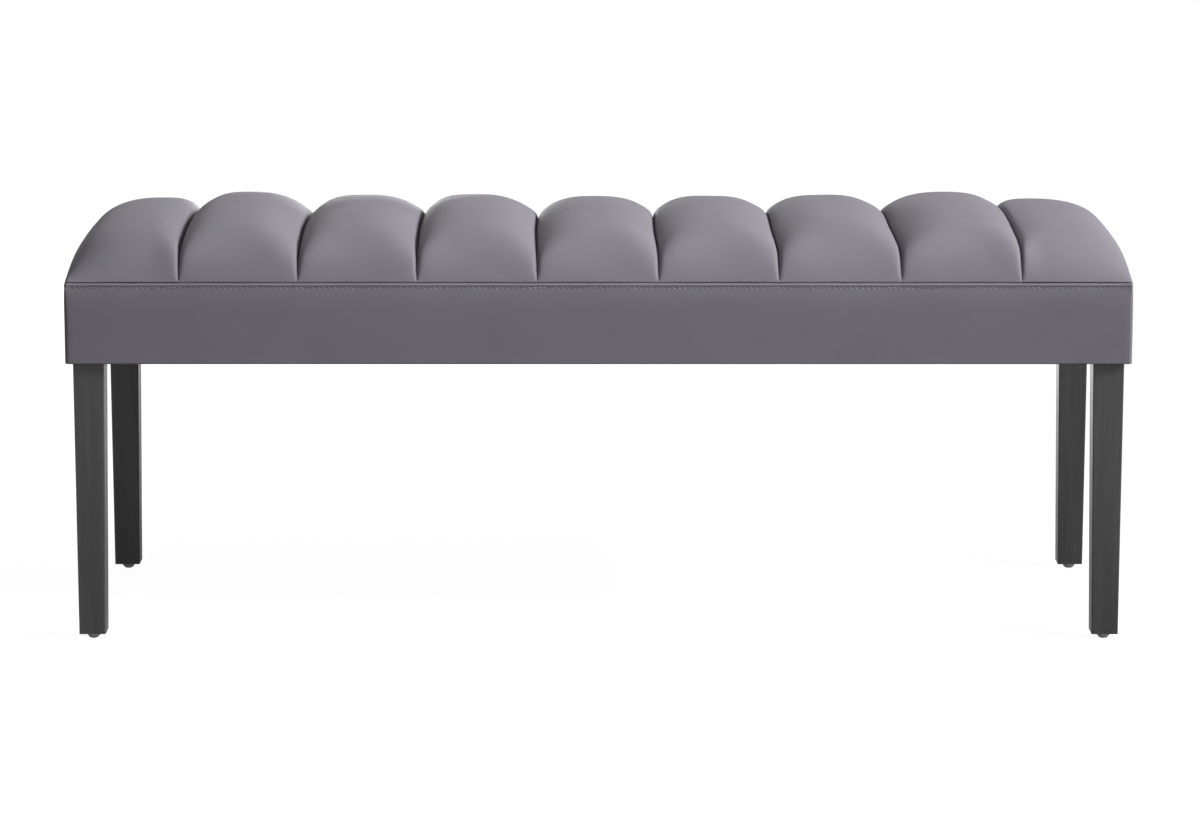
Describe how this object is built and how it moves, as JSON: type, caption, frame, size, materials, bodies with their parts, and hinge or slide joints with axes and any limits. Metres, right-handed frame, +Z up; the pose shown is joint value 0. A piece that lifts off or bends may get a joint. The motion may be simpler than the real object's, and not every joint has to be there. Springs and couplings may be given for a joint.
{
  "type": "dining bench",
  "caption": "Long low dining bench: channel-padded upholstered seat on a sewn side band, over a doweled timber frame with square tapered legs and small glides.",
  "frame": {"origin": "on the floor, under the middle of the bench", "axes": "+X along the bench, to the right seen from its front; +Y to its back; +Z up"},
  "size_m": [1.2, 0.4, 0.476],
  "materials": {
    "cover": "matt grey artificial leather with a fine grain",
    "foam": "open-cell upholstery foam",
    "wadding": "white polyester wadding",
    "dust_cloth": "black nonwoven dust cloth",
    "frame_timber": "planed softwood, unfinished",
    "plywood": "sanded plywood",
    "leg_wood": "black stained hardwood, satin lacquer",
    "glide_plastic": "pale grey moulded plastic",
    "zinc_steel": "zinc plated steel"
  },
  "bodies": {
    "root": {"back_band": "cover", "back_rail": "frame_timber", "back_wadding": "wadding", "base_foam": "foam", "channel_cover_1": "cover", "channel_cover_2": "cover", "channel_cover_3": "cover", "channel_cover_4": "cover", "channel_cover_5": "cover", "channel_cover_6": "cover", "channel_cover_7": "cover", "channel_cover_8": "cover", "channel_cover_9": "cover", "channel_pad_1": "foam", "channel_pad_2": "foam", "channel_pad_3": "foam", "channel_pad_4": "foam", "channel_pad_5": "foam", "channel_pad_6": "foam", "channel_pad_7": "foam", "channel_pad_8": "foam", "channel_pad_9": "foam", "corner_post_back_left": "frame_timber", "corner_post_back_right": "frame_timber", "corner_post_front_left": "frame_timber", "corner_post_front_right": "frame_timber", "cross_rail_left": "frame_timber", "cross_rail_right": "frame_timber", "cross_rail_screws": "zinc_steel", "dust_cover": "dust_cloth", "dust_cover_staples": "zinc_steel", "front_band": "cover", "front_rail": "frame_timber", "front_wadding": "wadding", "glide_back_left": "glide_plastic", "glide_back_right": "glide_plastic", "glide_front_left": "glide_plastic", "glide_front_right": "glide_plastic", "glide_nails": "zinc_steel", "hanger_bolts": "zinc_steel", "left_band": "cover", "left_rail": "frame_timber", "left_wadding": "wadding", "leg_back_left": "leg_wood", "leg_back_right": "leg_wood", "leg_front_left": "leg_wood", "leg_front_right": "leg_wood", "rail_dowels": "frame_timber", "right_band": "cover", "right_rail": "frame_timber", "right_wadding": "wadding", "seat_board": "plywood", "seat_board_screws": "zinc_steel", "threaded_inserts": "zinc_steel"}
  },
  "joints": []
}
